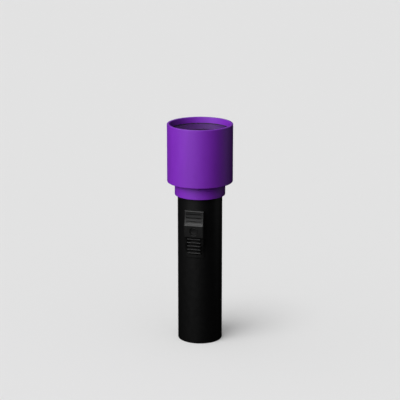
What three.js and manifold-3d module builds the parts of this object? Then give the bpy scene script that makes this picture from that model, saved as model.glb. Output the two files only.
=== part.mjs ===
// A two-cell torch (hand flashlight), standing on its tail: a black barrel with a thumb switch, and a purple
// head that screws on it. Millimetres, +Z up, origin at the middle of the tail's resting face, and the switch
// faces -Y. Every piece is a closed solid of its own, and pieces that touch keep a small gap.
import * as THREE from "three";
import { mergeVertices } from "three/addons/utils/BufferGeometryUtils.js";
import Module from "manifold-3d";

// ---------------------------------------------------------------- driving dimensions
const GAP = 0.3; // between two pieces that touch
const ROUND_SIDES = 40; // sides of a large round
const SMALL_SIDES = 16; // sides of a rivet, a button or a bulb part

const CELL_DIAMETER = 33.4;
const CELL_LENGTH = 61.5; // from the negative plate to the top of the positive nub
const CELL_CLEARANCE = 0.75; // cell to bore, all round
const CELL_NAMES = ["rear_cell", "front_cell"];

const BARREL_WALL = 2.05;
const TAIL_FLOOR = 2.5;
const TAIL_EDGE_RADIUS = 0.8;
const TAIL_RECESS_DEPTH = 0.6; // the tail stands on the ring round this recess
const TAIL_RING_WIDTH = 4.9;

const SPRING_HEIGHT = 8.2; // as compressed when the head is tight
const SPRING_WIRE = 1.2;
const SPRING_TURNS = 4;
const SPRING_TURN_STEP = 1.6; // each turn is this much smaller in radius

const STRIP_THICKNESS = 0.3;
const STRIP_WIDTH = 5;
const STRIP_CELL_GAP = 0.3;
const FOOT_THICKNESS = 0.4; // the round foot of the ground strip, under the spring
const FOOT_MARGIN = 1.2; // its edge to the largest cell

const THREAD_PITCH = 3;
const THREAD_ROOT_DEPTH = 0.9; // neck root below the barrel's surface
const THREAD_HEIGHT = 0.8;
const THREAD_BASE_WIDTH = 1.5;
const THREAD_CREST_WIDTH = 0.7;
const THREAD_CLEARANCE = 0.3; // radial, at crest and root

const COLLAR_HEIGHT = 11.65;
const COLLAR_WALL = 2.37;
const RING_SECTION = 1.3; // thickness of the O-ring's cord
const RING_SIDES = 8; // sides of that cord
const RING_SETBACK = 1.1; // collar's lower edge to the O-ring's groove

const HEAD_RADIUS = 28.65;
const HEAD_HEIGHT = 51.1; // cup only, above the shoulder
const HEAD_WALL = 2.25;
const SHOULDER_THICKNESS = 2.2;
const HEAD_FLOOR = 2.8; // thickness over the barrel's mouth
const HEAD_HOLE_CLEARANCE = 0.6; // hole in the floor, beyond the bore
const HEAD_EDGE = 0.5; // small bevels of the cup's edges
const LEDGE_DEPTH = 1.1; // inner ledge that carries the reflector
const LEDGE_HEIGHT = 1.5;

const LENS_RECESS = 5.4; // rim to lens
const LENS_THICKNESS = 2.2;
const LENS_EDGE = 0.3;
const GASKET_WALL = 0.5;
const GASKET_FOOT = 0.4;
const GASKET_FOOT_WIDTH = 1.9;
const GASKET_PROUD = 0.4; // its wall above the lens

const BULB_BASE_LENGTH = 10.5; // tip contact to the top of the flange
const BULB_BASE_RADIUS = 4.7;
const BULB_BASE_WALL = 0.4;
const BULB_FLANGE_RADIUS = 6.3;
const BULB_FLANGE_THICKNESS = 0.5;
const BULB_COLLAR_RADIUS = 5.6;
const BULB_COLLAR_HEIGHT = 1.9;
const BULB_GLOBE_RADIUS = 5.4;
const BULB_NECK_RADIUS = 4;
const BULB_GLASS_WALL = 0.5;
const GLASS_STEPS = 6;
const BULB_NECK_DEPTH = 5; // glass below the flange
const BULB_TIP_RADIUS = 2;
const BULB_TIP_HEIGHT = 1.3;
const INSULATOR_HEIGHT = 1.5;
const LEAD_RADIUS = 0.25;
const LEAD_SPREAD = 1.5;

const RETAINER_FLOOR = 1.4;
const RETAINER_WALL = 2;
const RETAINER_HEIGHT = 5.9;
const CONTACT_RING_THICKNESS = 0.4;

const REFLECTOR_MOUTH_RADIUS = 23.7;
const REFLECTOR_WALL = 1.3;
const REFLECTOR_FLANGE = 1;
const REFLECTOR_NECK_WALL = 1.4;
const REFLECTOR_VERTEX_RISE = 2.6; // neck's end to the curve's vertex
const REFLECTOR_STEPS = 7;

const SWITCH_DROP = 10.2; // collar's lower edge to the slider's upper end
const SLIDER_WIDTH = 17.2;
const SLIDER_TRAVEL = 6;
const UPPER_RAMP_LENGTH = 13.2;
const PAD_LENGTH = 10.05;
const LOWER_RAMP_LENGTH = 19.55;
const PAD_HEIGHT = 2.8; // above the barrel's surface
const UPPER_END_HEIGHT = 0.9; // each ramp's far end, above the barrel's surface
const LOWER_END_HEIGHT = 0.55;
const UPPER_RAMP_BEND = 5.2; // length of each ramp's steep part, next to the pad
const LOWER_RAMP_BEND = 3;
const UPPER_BEND_HEIGHT = 1.4;
const LOWER_BEND_HEIGHT = 1;
const GROOVE_COUNT = 3;
const GROOVE_PITCH = 3.1;
const GROOVE_WIDTH = 0.7;
const GROOVE_DEPTH = 0.5;
const GROOVE_LENGTH = 13.4; // across the slider
const GROOVE_SETBACK = 3.85; // pad's edge to the first groove
const RIB_PITCH = 3.15;
const RIB_WIDTH = 1.1;
const RIB_LENGTH = 12; // across the slider
const RIB_SETBACK = 1.8; // pad's edge to the first rib
const RIB_END_MARGIN = 4.5; // last rib to the slider's lower end, at least
const RIB_TOP_HEIGHT = 2.6; // first rib above the barrel's surface
const RIB_TOP_DROP = 0.22; // each rib is this much lower than the one before

const BUTTON_RADIUS = 3.2;
const BUTTON_RECESS = 0.7;
const BUTTON_DISH = 0.3;
const BUTTON_FLANGE_WIDTH = 1;
const BUTTON_FLANGE_THICKNESS = 0.5;
const BUTTON_STEM_RADIUS = 1.8;
const BUTTON_TRAVEL = 0.8;
const BUTTON_STEM_REST = 0.1; // stem to slide contact, when pressed

const PAD_WALL = 1.2; // slider's wall over the button's pocket
const BOSS_WIDTH = 5;
const BOSS_LENGTH = 9.8;
const SLOT_CLEARANCE = 0.4;
const CONTACT_THICKNESS = 0.4;
const CONTACT_WIDTH = 8;
const CONTACT_OVERLAP = 3; // slide contact on each strip, at least, when switched on
const CONTACT_BREAK = 2; // slide contact to the head strip, when switched off
const CHANNEL_CLEARANCE = 0.5;
const RIVET_RADIUS = 0.8;
const RIVET_HEAD_RADIUS = 1.5;
const RIVET_HEAD_THICKNESS = 0.35;
const RIVET_LENGTH = 3.1;
const RIVET_SPACING = 5.8;

// ---------------------------------------------------------------- radii that follow
const cellRadius = CELL_DIAMETER / 2;
const boreRadius = cellRadius + CELL_CLEARANCE;
const barrelRadius = boreRadius + BARREL_WALL;
const stripInner = cellRadius + STRIP_CELL_GAP;
const stripOuter = stripInner + STRIP_THICKNESS;
const contactInner = stripOuter + GAP;
const contactOuter = contactInner + CONTACT_THICKNESS;
const channelRadius = contactOuter + GAP;
const neckRootRadius = barrelRadius - THREAD_ROOT_DEPTH;
const neckCrestRadius = neckRootRadius + THREAD_HEIGHT;
const collarBoreRadius = neckCrestRadius + THREAD_CLEARANCE;
const collarCrestRadius = neckRootRadius + THREAD_CLEARANCE;
const collarRadius = collarBoreRadius + COLLAR_WALL;
const ringGrooveRadius = barrelRadius - RING_SECTION;
const ringMiddleRadius = ringGrooveRadius + GAP + RING_SECTION / 2;
const collarEntryRadius = ringMiddleRadius + RING_SECTION / 2 + GAP;
const headHoleRadius = boreRadius + HEAD_HOLE_CLEARANCE;
const cupRadius = HEAD_RADIUS - HEAD_WALL;
const slidingRadius = barrelRadius + GAP; // slider's underside

// ---------------------------------------------------------------- heights that follow, from the tail up
const footBottom = TAIL_FLOOR + GAP;
const springBottom = footBottom + FOOT_THICKNESS + GAP;
const springTop = springBottom + SPRING_HEIGHT;
const cellBottom = (index) => springTop + GAP + index * (CELL_LENGTH + GAP);
const bulbBottom = cellBottom(CELL_NAMES.length);
const flangeTop = bulbBottom + BULB_BASE_LENGTH;
const flangeBottom = flangeTop - BULB_FLANGE_THICKNESS;
const retainerBottom = flangeBottom - GAP - RETAINER_FLOOR;
const contactRingBottom = retainerBottom - GAP - CONTACT_RING_THICKNESS;
const headStripTop = contactRingBottom - GAP;
const barrelMouth = headStripTop - GAP;
const headFloorBottom = barrelMouth + GAP;
const headFloorTop = headFloorBottom + HEAD_FLOOR;
const shoulder = headFloorTop - SHOULDER_THICKNESS;
const collarBottom = shoulder - COLLAR_HEIGHT;
const headTop = shoulder + HEAD_HEIGHT;
const lensTop = headTop - LENS_RECESS;
const lensBottom = lensTop - LENS_THICKNESS;
const gasketBottom = lensBottom - GAP - GASKET_FOOT;
const reflectorTop = gasketBottom - GAP;
const ledgeTop = reflectorTop - REFLECTOR_FLANGE - GAP;
const reflectorBottom = flangeTop + GAP;
const reflectorVertex = reflectorBottom + REFLECTOR_VERTEX_RISE;
const focalLength = REFLECTOR_MOUTH_RADIUS ** 2 / (4 * (reflectorTop - reflectorVertex));
const filamentHeight = reflectorVertex + focalLength;

const ringGrooveBottom = collarBottom + RING_SETBACK;
const ringGrooveTop = ringGrooveBottom + RING_SECTION + 2 * GAP;
const neckBottom = ringGrooveTop + 0.5 * THREAD_ROOT_DEPTH;

const sliderTop = collarBottom - SWITCH_DROP;
const padTop = sliderTop - UPPER_RAMP_LENGTH;
const padBottom = padTop - PAD_LENGTH;
const sliderBottom = padBottom - LOWER_RAMP_LENGTH;
const buttonHeight = (padTop + padBottom) / 2;
const pocketRadius = BUTTON_RADIUS + BUTTON_FLANGE_WIDTH + GAP;
const bossTop = buttonHeight - pocketRadius - 1.5 * GAP;
const bossBottom = bossTop - BOSS_LENGTH;
const bossMiddle = (bossTop + bossBottom) / 2;
const rivetHeights = { upper: bossMiddle + RIVET_SPACING / 2, lower: bossMiddle - RIVET_SPACING / 2 };
const slotBottom = bossBottom - SLOT_CLEARANCE;
const slotTop = buttonHeight + BUTTON_STEM_RADIUS + SLIDER_TRAVEL + SLOT_CLEARANCE;
const groundStripTop = rivetHeights.lower - RIVET_HEAD_RADIUS - GAP;
const contactBottom = groundStripTop - CONTACT_OVERLAP - SLIDER_TRAVEL;
const contactTop = buttonHeight + BUTTON_STEM_RADIUS + CONTACT_OVERLAP;
const headStripBottom = contactTop + CONTACT_BREAK;

// ---------------------------------------------------------------- solids
const wasm = await Module();
wasm.setup();

function toManifold(geometry) {
  const bare = geometry.clone();
  bare.deleteAttribute("normal");
  bare.deleteAttribute("uv");
  const merged = mergeVertices(bare, 1e-4);
  const vertProperties = merged.attributes.position.array;
  const triVerts = new Uint32Array(merged.index.array);
  return new wasm.Manifold(new wasm.Mesh({ numProp: 3, vertProperties, triVerts }));
}

function toGeometry(manifold) {
  const mesh = manifold.getMesh();
  const geometry = new THREE.BufferGeometry();
  geometry.setAttribute("position", new THREE.BufferAttribute(new Float32Array(mesh.vertProperties), 3));
  geometry.setIndex(new THREE.BufferAttribute(new Uint32Array(mesh.triVerts), 1));
  return geometry;
}

const join = (first, ...others) =>
  toGeometry(others.reduce((whole, other) => whole.add(toManifold(other)), toManifold(first)));
const cut = (first, ...others) =>
  toGeometry(others.reduce((rest, other) => rest.subtract(toManifold(other)), toManifold(first)));
const common = (first, second) => toGeometry(toManifold(first).intersect(toManifold(second)));

function signedArea(outline) {
  const next = (index) => outline[(index + 1) % outline.length];
  return outline.reduce((sum, [r, z], index) => sum + r * next(index)[1] - next(index)[0] * z, 0) / 2;
}

// Turns an outline of [radius, height] corners round the Z axis. An outline that leaves the axis closes itself.
function revolve(outline, sides = ROUND_SIDES) {
  const upward = signedArea(outline) > 0 ? outline : [...outline].reverse();
  const closed = upward[0][0] > 0 ? [...upward, upward[0]] : upward;
  const points = closed.map(([radius, height]) => new THREE.Vector2(radius, height));
  return new THREE.LatheGeometry(points, sides).rotateX(Math.PI / 2);
}

// The same, round an axis that points out of the switch (-Y) at a height: corners are [radius, distance out].
function revolveOutward(outline, height, sides = SMALL_SIDES) {
  return revolve(outline, sides).rotateX(Math.PI / 2).translate(0, 0, height);
}

const disc = (radius, bottom, top) => [[0, bottom], [radius, bottom], [radius, top], [0, top]];
const tube = (inner, outer, bottom, top) => [[inner, bottom], [outer, bottom], [outer, top], [inner, top]];

// A box that is centred on the switch's middle plane, between two distances out from the axis.
function switchBox(width, bottom, top, innerDistance, outerDistance) {
  const box = new THREE.BoxGeometry(width, outerDistance - innerDistance, top - bottom);
  return box.translate(0, -(innerDistance + outerDistance) / 2, (bottom + top) / 2);
}

// A curved plate on the switch's side, between two radii.
function curvedPlate(inner, outer, width, bottom, top) {
  const wide = switchBox(width, bottom - 1, top + 1, 0, outer + 1);
  return common(revolve(tube(inner, outer, bottom, top)), wide);
}

// Quarter of a rounded edge, as corners from startAngle on (degrees), round a centre.
function corner(centreRadius, centreHeight, radius, startAngle, steps = 3) {
  const points = [];
  for (let i = 0; i <= steps; i++) {
    const angle = THREE.MathUtils.degToRad(startAngle + (90 * i) / steps);
    points.push([centreRadius + radius * Math.cos(angle), centreHeight + radius * Math.sin(angle)]);
  }
  return points;
}

// A screw ridge with a tapered section, faded out at both ends. Its crest may lie inside or outside its base.
function threadRidge(baseRadius, crestRadius, startHeight, startTurn, turns) {
  const steps = Math.round(turns * ROUND_SIDES);
  const fadeSteps = ROUND_SIDES / 8;
  const positions = [];
  for (let i = 0; i <= steps; i++) {
    const turn = startTurn + i / ROUND_SIDES;
    const angle = turn * 2 * Math.PI;
    const fade = Math.min(1, (i + 1) / fadeSteps, (steps - i + 1) / fadeSteps);
    const crest = baseRadius + (crestRadius - baseRadius) * fade;
    const height = startHeight + THREAD_PITCH * turn;
    const halfBase = THREAD_BASE_WIDTH / 2;
    const halfCrest = THREAD_CREST_WIDTH / 2;
    const section = [[baseRadius, -halfBase], [crest, -halfCrest], [crest, halfCrest], [baseRadius, halfBase]];
    for (const [radius, rise] of section) {
      positions.push(radius * Math.sin(angle), -radius * Math.cos(angle), height + rise);
    }
  }
  const index = [0, 2, 1, 0, 3, 2];
  for (let i = 0; i < steps; i++) {
    for (let side = 0; side < 4; side++) {
      const a = 4 * i + side;
      const b = 4 * i + ((side + 1) % 4);
      index.push(a, b, b + 4, a, b + 4, a + 4);
    }
  }
  const last = 4 * steps;
  index.push(last, last + 1, last + 2, last, last + 2, last + 3);
  if (crestRadius > baseRadius) index.reverse();
  const ridge = new THREE.BufferGeometry();
  ridge.setAttribute("position", new THREE.Float32BufferAttribute(positions, 3));
  ridge.setIndex(index);
  return ridge;
}

// A round wire along a curve.
function wire(curve, radius, steps, sides = 8) {
  const section = new THREE.Shape();
  for (let i = 0; i < sides; i++) {
    const angle = (i / sides) * 2 * Math.PI;
    const place = [radius * Math.cos(angle), radius * Math.sin(angle)];
    if (i === 0) section.moveTo(...place);
    else section.lineTo(...place);
  }
  return new THREE.ExtrudeGeometry(section, { steps, extrudePath: curve, bevelEnabled: false });
}

// ---------------------------------------------------------------- barrel and what stays in it
function barrel() {
  const ringInner = barrelRadius - TAIL_RING_WIDTH;
  const outline = [
    [0, TAIL_RECESS_DEPTH],
    [ringInner - TAIL_RECESS_DEPTH, TAIL_RECESS_DEPTH],
    [ringInner, 0],
    ...corner(barrelRadius - TAIL_EDGE_RADIUS, TAIL_EDGE_RADIUS, TAIL_EDGE_RADIUS, -90),
    [barrelRadius, ringGrooveBottom],
    [ringGrooveRadius, ringGrooveBottom],
    [ringGrooveRadius, ringGrooveTop],
    [barrelRadius, ringGrooveTop],
    [neckRootRadius, neckBottom],
    [neckRootRadius, barrelMouth - GAP],
    [neckRootRadius - GAP, barrelMouth],
    [boreRadius, barrelMouth],
    [boreRadius, TAIL_FLOOR],
    [0, TAIL_FLOOR],
  ];
  const ridgeBase = neckRootRadius - 0.5 * THREAD_HEIGHT;
  const thread = threadRidge(ridgeBase, neckCrestRadius, maleThreadBottom, 0, maleThreadTurns);
  const channelBottom = contactBottom - CHANNEL_CLEARANCE;
  const channelTop = contactTop + SLIDER_TRAVEL + CHANNEL_CLEARANCE;
  const channelWidth = CONTACT_WIDTH + 2 * CHANNEL_CLEARANCE;
  const channel = curvedPlate(stripInner, channelRadius, channelWidth, channelBottom, channelTop);
  const slotWidth = BOSS_WIDTH + 2 * SLOT_CLEARANCE;
  const slot = switchBox(slotWidth, slotBottom, slotTop, stripInner, barrelRadius + 1);
  return cut(join(revolve(outline), thread), channel, slot);
}

const threadEndMargin = THREAD_BASE_WIDTH / 2 + GAP;
const maleThreadBottom = neckBottom + threadEndMargin;
const maleThreadTurns = (barrelMouth - GAP - threadEndMargin - maleThreadBottom) / THREAD_PITCH;
const femaleThreadStart = -0.25; // turns from the barrel thread's start, half a pitch above it
const femaleThreadBottom = maleThreadBottom + THREAD_PITCH / 2;
const femaleThreadSpan = headFloorBottom - threadEndMargin - femaleThreadBottom;
const femaleThreadTurns = femaleThreadSpan / THREAD_PITCH - femaleThreadStart;

function barrelRing() {
  const middleHeight = (ringGrooveBottom + ringGrooveTop) / 2;
  const outline = [];
  for (let i = 0; i < RING_SIDES; i++) {
    const angle = (i / RING_SIDES) * 2 * Math.PI;
    const radius = ringMiddleRadius + (RING_SECTION / 2) * Math.cos(angle);
    outline.push([radius, middleHeight + (RING_SECTION / 2) * Math.sin(angle)]);
  }
  return revolve(outline);
}

function tailSpring() {
  class Spiral extends THREE.Curve {
    getPoint(t, target = new THREE.Vector3()) {
      const turns = t * SPRING_TURNS;
      const angle = turns * 2 * Math.PI;
      const firstRadius = cellRadius - FOOT_MARGIN - SPRING_WIRE;
      const radius = firstRadius - SPRING_TURN_STEP * turns;
      const rise = SPRING_HEIGHT - SPRING_WIRE;
      const climb = THREE.MathUtils.smoothstep(t, 0.1, 0.9);
      const height = springBottom + SPRING_WIRE / 2 + rise * climb;
      return target.set(radius * Math.sin(angle), -radius * Math.cos(angle), height);
    }
  }
  return wire(new Spiral(), (SPRING_WIRE / 2) * 0.95, SPRING_TURNS * 20);
}

function groundStrip() {
  const footRadius = cellRadius - FOOT_MARGIN;
  const foot = revolve(disc(footRadius, footBottom, footBottom + FOOT_THICKNESS));
  const bridge = switchBox(STRIP_WIDTH, footBottom, footBottom + FOOT_THICKNESS, footRadius - 1, stripInner);
  const strip = curvedPlate(stripInner - 0.1, stripOuter, STRIP_WIDTH, footBottom, groundStripTop);
  return join(foot, bridge, strip);
}

function headStrip() {
  return curvedPlate(stripInner, stripOuter, STRIP_WIDTH, headStripBottom, headStripTop);
}

// ---------------------------------------------------------------- cells
const CELL_CRIMP = 3.2; // width of the jacket's rolled ends
const CELL_END_DEPTH = 0.6;
const CELL_SHOULDER = 1.7; // jacket's top below the nub's top
const PLATE_RADIUS = 11;
const NUB_RADIUS = 4.75;
const NUB_FLANGE_RADIUS = 9.5;
const NUB_FLANGE_THICKNESS = 0.6;

function cellJacket(bottom) {
  const low = bottom + GAP;
  const high = bottom + CELL_LENGTH - CELL_SHOULDER;
  const recess = cellRadius - CELL_CRIMP;
  return revolve([
    [0, low + CELL_END_DEPTH],
    [recess, low + CELL_END_DEPTH],
    [recess + CELL_END_DEPTH, low],
    [cellRadius - CELL_END_DEPTH, low],
    [cellRadius, low + CELL_END_DEPTH],
    [cellRadius, high - CELL_END_DEPTH],
    [cellRadius - CELL_END_DEPTH, high],
    [recess, high],
    [recess - CELL_END_DEPTH, high - 2 * CELL_END_DEPTH],
    [0, high - 2 * CELL_END_DEPTH],
  ]);
}

function cellNegativePlate(bottom) {
  return revolve(disc(PLATE_RADIUS, bottom, bottom + CELL_END_DEPTH), SMALL_SIDES);
}

function cellPositiveCap(bottom) {
  const flange = bottom + CELL_LENGTH - CELL_SHOULDER - 2 * CELL_END_DEPTH + GAP;
  const nub = bottom + CELL_LENGTH;
  return revolve(
    [
      [0, flange],
      [NUB_FLANGE_RADIUS, flange],
      [NUB_FLANGE_RADIUS, flange + NUB_FLANGE_THICKNESS],
      [NUB_RADIUS + GAP, flange + NUB_FLANGE_THICKNESS],
      [NUB_RADIUS, nub - GAP],
      [NUB_RADIUS - GAP, nub],
      [0, nub],
    ],
    SMALL_SIDES,
  );
}

// ---------------------------------------------------------------- bulb and reflector
function bulbCap() {
  const inner = BULB_BASE_RADIUS - BULB_BASE_WALL;
  const bottom = bulbBottom + BULB_TIP_HEIGHT;
  const collarTop = flangeTop + BULB_COLLAR_HEIGHT;
  const collarInner = BULB_COLLAR_RADIUS - BULB_BASE_WALL;
  return revolve(
    [
      [inner, bottom],
      [BULB_BASE_RADIUS, bottom],
      [BULB_BASE_RADIUS, flangeBottom],
      [BULB_FLANGE_RADIUS, flangeBottom],
      [BULB_FLANGE_RADIUS, flangeTop],
      [BULB_COLLAR_RADIUS, flangeTop],
      [BULB_COLLAR_RADIUS, collarTop],
      [collarInner, collarTop],
      [inner, flangeTop],
    ],
    SMALL_SIDES,
  );
}

function bulbTip() {
  const rounding = BULB_TIP_HEIGHT - 2 * GAP;
  const top = bulbBottom + BULB_TIP_HEIGHT - GAP / 2;
  const curved = corner(BULB_TIP_RADIUS - rounding, bulbBottom + rounding, rounding, -90);
  return revolve([[0, bulbBottom], ...curved, [BULB_TIP_RADIUS, top], [0, top]], SMALL_SIDES);
}

function bulbInsulator() {
  const bottom = bulbBottom + BULB_TIP_HEIGHT + GAP / 2;
  const radius = BULB_BASE_RADIUS - BULB_BASE_WALL - GAP;
  return revolve(disc(radius, bottom, bottom + INSULATOR_HEIGHT), SMALL_SIDES);
}

// One side of the bulb's glass, shrunk by an inset: a straight neck, then a round globe.
function glassSide(inset) {
  const globe = BULB_GLOBE_RADIUS - inset;
  const neck = BULB_NECK_RADIUS - inset;
  const startAngle = -Math.acos(neck / globe);
  const points = [[neck, flangeTop - BULB_NECK_DEPTH]];
  for (let i = 0; i <= GLASS_STEPS; i++) {
    const angle = startAngle + ((Math.PI / 2 - startAngle) * i) / GLASS_STEPS;
    points.push([globe * Math.cos(angle), filamentHeight + globe * Math.sin(angle)]);
  }
  points[points.length - 1][0] = 0;
  return points;
}

function bulbGlass() {
  return revolve([...glassSide(0), ...glassSide(BULB_GLASS_WALL).reverse()], SMALL_SIDES);
}

function bulbFilament() {
  const leadBottom = flangeTop - BULB_NECK_DEPTH;
  const bend = filamentHeight - 2 * LEAD_RADIUS;
  const path = new THREE.CurvePath();
  const corners = [
    [-LEAD_SPREAD / 2, leadBottom],
    [-LEAD_SPREAD, bend],
    [-LEAD_SPREAD / 2, filamentHeight],
    [LEAD_SPREAD / 2, filamentHeight],
    [LEAD_SPREAD, bend],
    [LEAD_SPREAD / 2, leadBottom],
  ].map(([x, z]) => new THREE.Vector3(x, 0, z));
  for (let i = 1; i < corners.length; i++) path.add(new THREE.LineCurve3(corners[i - 1], corners[i]));
  return wire(path, LEAD_RADIUS, 30, 6);
}

const reflectorNeckInner = BULB_COLLAR_RADIUS + GAP;
const reflectorNeckOuter = reflectorNeckInner + REFLECTOR_NECK_WALL;
const retainerInner = reflectorNeckOuter + GAP;

function reflector() {
  const flangeRadius = cupRadius - GAP;
  const curveRadius = (height) => Math.sqrt(4 * focalLength * (height - reflectorVertex));
  const curveBottom = reflectorVertex + reflectorNeckInner ** 2 / (4 * focalLength);
  const inner = [[reflectorNeckInner, reflectorBottom]];
  const outer = [[reflectorNeckOuter, reflectorBottom], [reflectorNeckOuter, curveBottom - REFLECTOR_WALL]];
  for (let i = 0; i <= REFLECTOR_STEPS; i++) {
    const share = (i / REFLECTOR_STEPS) ** 2;
    const height = curveBottom + (reflectorTop - curveBottom) * share;
    inner.push([curveRadius(height), height]);
    const back = Math.min(height, reflectorTop - REFLECTOR_FLANGE);
    if (i > 0) outer.push([curveRadius(back) + REFLECTOR_WALL, back]);
  }
  const flange = [[flangeRadius, reflectorTop - REFLECTOR_FLANGE], [flangeRadius, reflectorTop]];
  return revolve([...outer, ...flange, ...inner.reverse()]);
}

function bulbRetainer() {
  const outer = retainerInner + RETAINER_WALL;
  const floorTop = retainerBottom + RETAINER_FLOOR;
  const top = Math.min(retainerBottom + RETAINER_HEIGHT, reflectorVertex + GAP);
  const hole = BULB_BASE_RADIUS + GAP;
  return revolve([
    [hole, retainerBottom],
    [outer - GAP, retainerBottom],
    [outer, retainerBottom + GAP],
    [outer, top],
    [retainerInner, top],
    [retainerInner, floorTop],
    [hole, floorTop],
  ]);
}

function contactRing() {
  const outer = headHoleRadius - GAP;
  const top = contactRingBottom + CONTACT_RING_THICKNESS;
  return revolve(tube(BULB_BASE_RADIUS + GAP, outer, contactRingBottom, top));
}

// ---------------------------------------------------------------- head
function headShell() {
  const entryTop = ringGrooveTop + GAP;
  const ledgeRadius = cupRadius - LEDGE_DEPTH;
  const outline = [
    [collarEntryRadius, collarBottom],
    [collarRadius - HEAD_EDGE, collarBottom],
    [collarRadius, collarBottom + HEAD_EDGE],
    [collarRadius, shoulder],
    [HEAD_RADIUS - HEAD_EDGE, shoulder],
    [HEAD_RADIUS, shoulder + HEAD_EDGE],
    [HEAD_RADIUS, headTop - HEAD_EDGE],
    [HEAD_RADIUS - HEAD_EDGE, headTop],
    [cupRadius + HEAD_EDGE, headTop],
    [cupRadius, headTop - HEAD_EDGE],
    [cupRadius, ledgeTop],
    [ledgeRadius, ledgeTop],
    [ledgeRadius, ledgeTop - LEDGE_HEIGHT],
    [cupRadius, ledgeTop - LEDGE_HEIGHT - LEDGE_DEPTH],
    [cupRadius, headFloorTop],
    [headHoleRadius, headFloorTop],
    [headHoleRadius, headFloorBottom],
    [collarBoreRadius, headFloorBottom],
    [collarBoreRadius, neckBottom],
    [collarEntryRadius, entryTop],
  ];
  const ridgeBase = collarBoreRadius + 0.5 * THREAD_HEIGHT;
  const thread = threadRidge(
    ridgeBase, collarCrestRadius, femaleThreadBottom, femaleThreadStart, femaleThreadTurns,
  );
  return join(revolve(outline), thread);
}

const gasketRadius = cupRadius - GAP;

function lensGasket() {
  const inner = gasketRadius - GASKET_WALL;
  const footTop = gasketBottom + GASKET_FOOT;
  const top = lensTop + GASKET_PROUD;
  const footInner = gasketRadius - GASKET_FOOT_WIDTH;
  return revolve([
    [footInner, gasketBottom],
    [gasketRadius, gasketBottom],
    [gasketRadius, top],
    [inner, top],
    [inner, footTop],
    [footInner, footTop],
  ]);
}

function lens() {
  const radius = gasketRadius - GASKET_WALL - GAP;
  return revolve([
    [0, lensBottom],
    [radius - LENS_EDGE, lensBottom],
    [radius, lensBottom + LENS_EDGE],
    [radius, lensTop - LENS_EDGE],
    [radius - LENS_EDGE, lensTop],
    [0, lensTop],
  ]);
}

// ---------------------------------------------------------------- switch
// Side view of the slider as a shape: x is the height, y the distance out from the barrel's axis.
function sliderSide() {
  const pad = barrelRadius + PAD_HEIGHT;
  const upperEnd = barrelRadius + UPPER_END_HEIGHT;
  const upperBend = barrelRadius + UPPER_BEND_HEIGHT;
  const lowerEnd = barrelRadius + LOWER_END_HEIGHT;
  const lowerBend = barrelRadius + LOWER_BEND_HEIGHT;
  const inside = barrelRadius * Math.cos(Math.asin(SLIDER_WIDTH / 2 / barrelRadius)) - 1;
  const side = new THREE.Shape();
  side.moveTo(sliderBottom, inside);
  side.lineTo(sliderTop, inside);
  side.lineTo(sliderTop, upperEnd);
  side.quadraticCurveTo(padTop + UPPER_RAMP_BEND, upperBend, padTop, pad);
  side.lineTo(padBottom, pad);
  side.quadraticCurveTo(padBottom - LOWER_RAMP_BEND, lowerBend, sliderBottom, lowerEnd);
  side.closePath();
  return side;
}

function sliderBlock() {
  const block = new THREE.ExtrudeGeometry(sliderSide(), {
    depth: SLIDER_WIDTH,
    bevelEnabled: false,
    curveSegments: 8,
  });
  block.translate(0, 0, -SLIDER_WIDTH / 2);
  const upright = new THREE.Matrix4().makeBasis(
    new THREE.Vector3(0, 0, 1),
    new THREE.Vector3(0, -1, 0),
    new THREE.Vector3(1, 0, 0),
  );
  return block.applyMatrix4(upright);
}

// Distance out from the axis of the upper ramp's surface, at a height above the pad.
function upperRampDistance(rise) {
  const curve = new THREE.QuadraticBezierCurve(
    new THREE.Vector2(0, PAD_HEIGHT),
    new THREE.Vector2(UPPER_RAMP_BEND, UPPER_BEND_HEIGHT),
    new THREE.Vector2(UPPER_RAMP_LENGTH, UPPER_END_HEIGHT),
  );
  const points = curve.getPoints(60);
  return barrelRadius + points.find((point) => point.x >= rise).y;
}

function sliderGrooves() {
  const grooves = [];
  for (let i = 0; i < GROOVE_COUNT; i++) {
    const rise = GROOVE_SETBACK + i * GROOVE_PITCH;
    if (rise + GROOVE_WIDTH > UPPER_RAMP_LENGTH) break;
    const surface = upperRampDistance(rise);
    const floor = Math.max(surface - GROOVE_DEPTH, slidingRadius + 0.1);
    const bottom = padTop + rise - GROOVE_WIDTH / 2;
    grooves.push(switchBox(GROOVE_LENGTH, bottom, bottom + GROOVE_WIDTH, floor, surface + 1));
  }
  return grooves;
}

function sliderRibs() {
  const ribs = [];
  const lowest = sliderBottom + RIB_END_MARGIN;
  for (let i = 0; padBottom - RIB_SETBACK - i * RIB_PITCH > lowest; i++) {
    const middle = padBottom - RIB_SETBACK - i * RIB_PITCH;
    const top = barrelRadius + RIB_TOP_HEIGHT - i * RIB_TOP_DROP;
    const bottom = middle - RIB_WIDTH / 2;
    ribs.push(switchBox(RIB_LENGTH, bottom, bottom + RIB_WIDTH, slidingRadius + 0.1, top));
  }
  return ribs;
}

const padDistance = barrelRadius + PAD_HEIGHT;
const pocketDistance = padDistance - PAD_WALL;
const bossInner = contactOuter + GAP;

function rivetHoles() {
  const depth = contactInner + RIVET_LENGTH;
  const outline = tube(0, RIVET_RADIUS + GAP, contactInner - 1, depth);
  return Object.values(rivetHeights).map((height) => revolveOutward(outline, height));
}

function thumbSlider() {
  const underside = revolve(disc(slidingRadius, sliderBottom - 1, sliderTop + 1));
  const shell = cut(sliderBlock(), underside);
  const boss = switchBox(BOSS_WIDTH, bossBottom, bossTop, bossInner, slidingRadius + 0.4);
  const pocket = revolveOutward(disc(pocketRadius, barrelRadius - 1, pocketDistance), buttonHeight);
  const hole = revolveOutward(disc(BUTTON_RADIUS + GAP, barrelRadius, padDistance + 1), buttonHeight);
  return cut(join(shell, boss, ...sliderRibs()), pocket, hole, ...sliderGrooves(), ...rivetHoles());
}

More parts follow.
